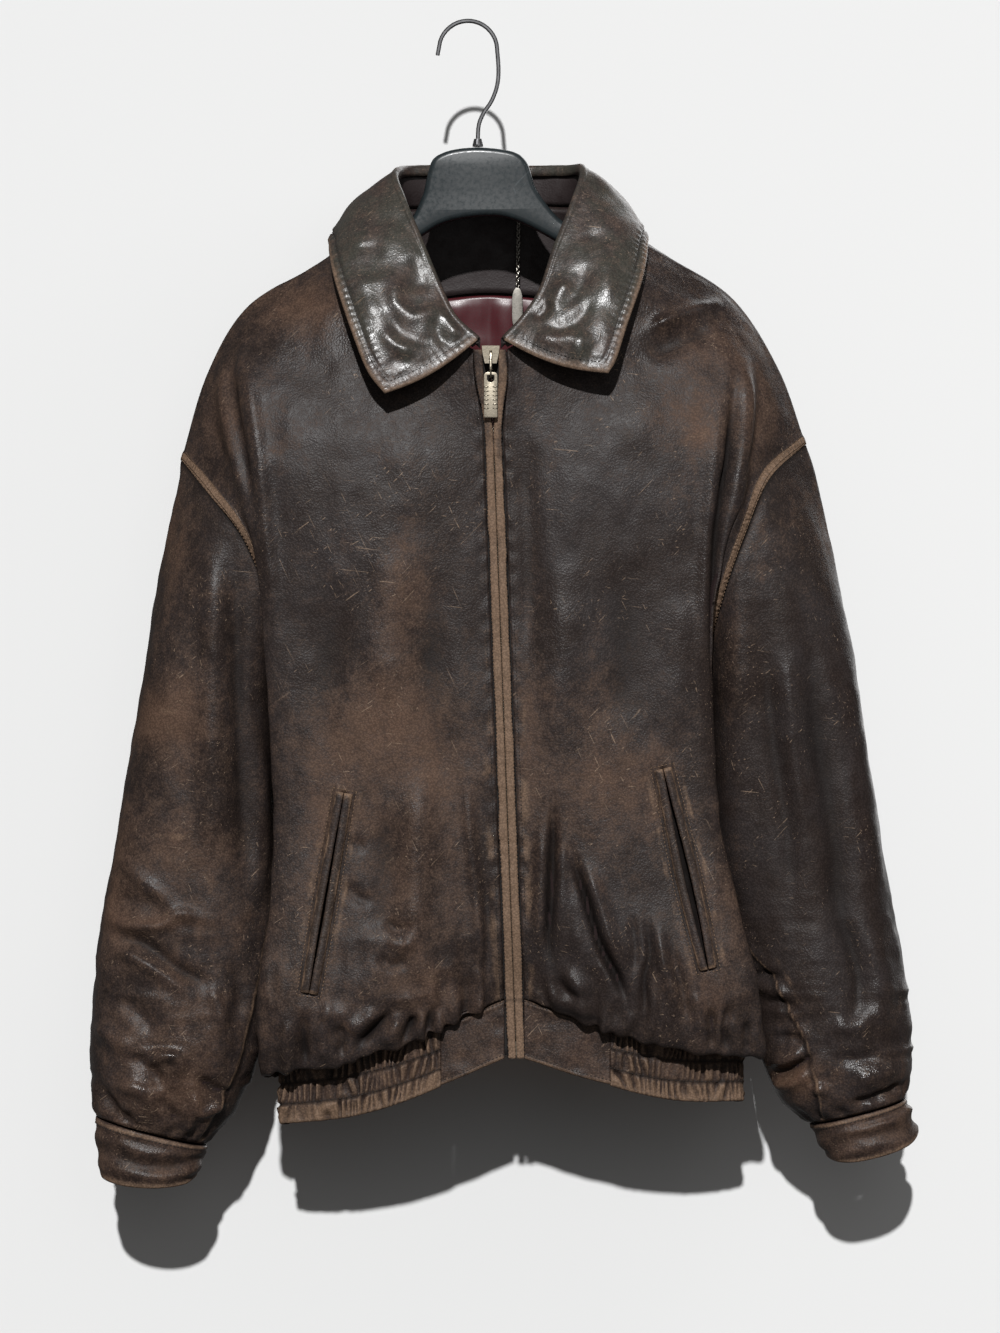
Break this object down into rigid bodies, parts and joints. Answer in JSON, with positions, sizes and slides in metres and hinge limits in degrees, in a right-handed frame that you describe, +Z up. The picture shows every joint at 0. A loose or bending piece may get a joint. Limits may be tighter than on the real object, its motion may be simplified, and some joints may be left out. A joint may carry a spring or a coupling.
{
  "type": "leather jacket on a hanger",
  "caption": "Worn leather blouson with a fold-down collar, zip front, welt pockets and gathered waistband, hanging on a moulded hanger with a wire hook.",
  "frame": {"origin": "where the hook bears on its rail: the underside of the top of the hook's arc", "axes": "+Z up, the front faces -Y, +X is the wearer's left"},
  "size_m": [0.666, 0.1868, 0.9389],
  "materials": {
    "leather": "dark brown hide, rubbed red-brown, satin",
    "collar_leather": "olive-brown hide, polished by wear",
    "worn_leather": "hide rubbed tan along its edges",
    "lining_satin": "burgundy satin",
    "zip_tape": "woven tape",
    "zip_metal": "antique nickel, tarnished",
    "chain_metal": "antique nickel",
    "hanger_plastic": "charcoal moulded plastic, satin",
    "hook_chrome": "polished chrome wire"
  },
  "bodies": {
    "jacket": {"front_right": "leather", "front_left": "leather", "back": "leather", "sleeve_right": "leather", "sleeve_left": "leather", "cuff_right": "leather", "cuff_left": "leather", "band_tab_right": "leather", "band_tab_left": "leather", "band_elastic_right": "leather", "band_elastic_left": "leather", "band_back": "leather", "back_neck_facing": "leather", "collar_leaf": "collar_leather", "collar_stand": "collar_leather", "placket_right": "worn_leather", "placket_left": "worn_leather", "welt_outer_right": "worn_leather", "welt_inner_right": "worn_leather", "welt_outer_left": "worn_leather", "welt_inner_left": "worn_leather", "back_lining": "lining_satin", "zip_tape_right": "zip_tape", "zip_tape_left": "zip_tape", "zip_chain": "zip_metal", "zip_box": "zip_metal", "zip_slider": "zip_metal", "hang_chain": "chain_metal", "hang_chain_end": "chain_metal", "hang_plate": "chain_metal", "hanger_body": "hanger_plastic", "hanger_hook": "hook_chrome", "hook_ferrule": "hook_chrome"},
    "pull_tab": {"zip_pull": "zip_metal"}
  },
  "joints": [
    {"name": "pull_tab_swing", "type": "hinge", "parent": "jacket", "child": "pull_tab", "pos_m": [0.01744, -0.0756, -0.2884], "axis": [-1, 0, 0], "range_deg": [0, 140]}
  ]
}
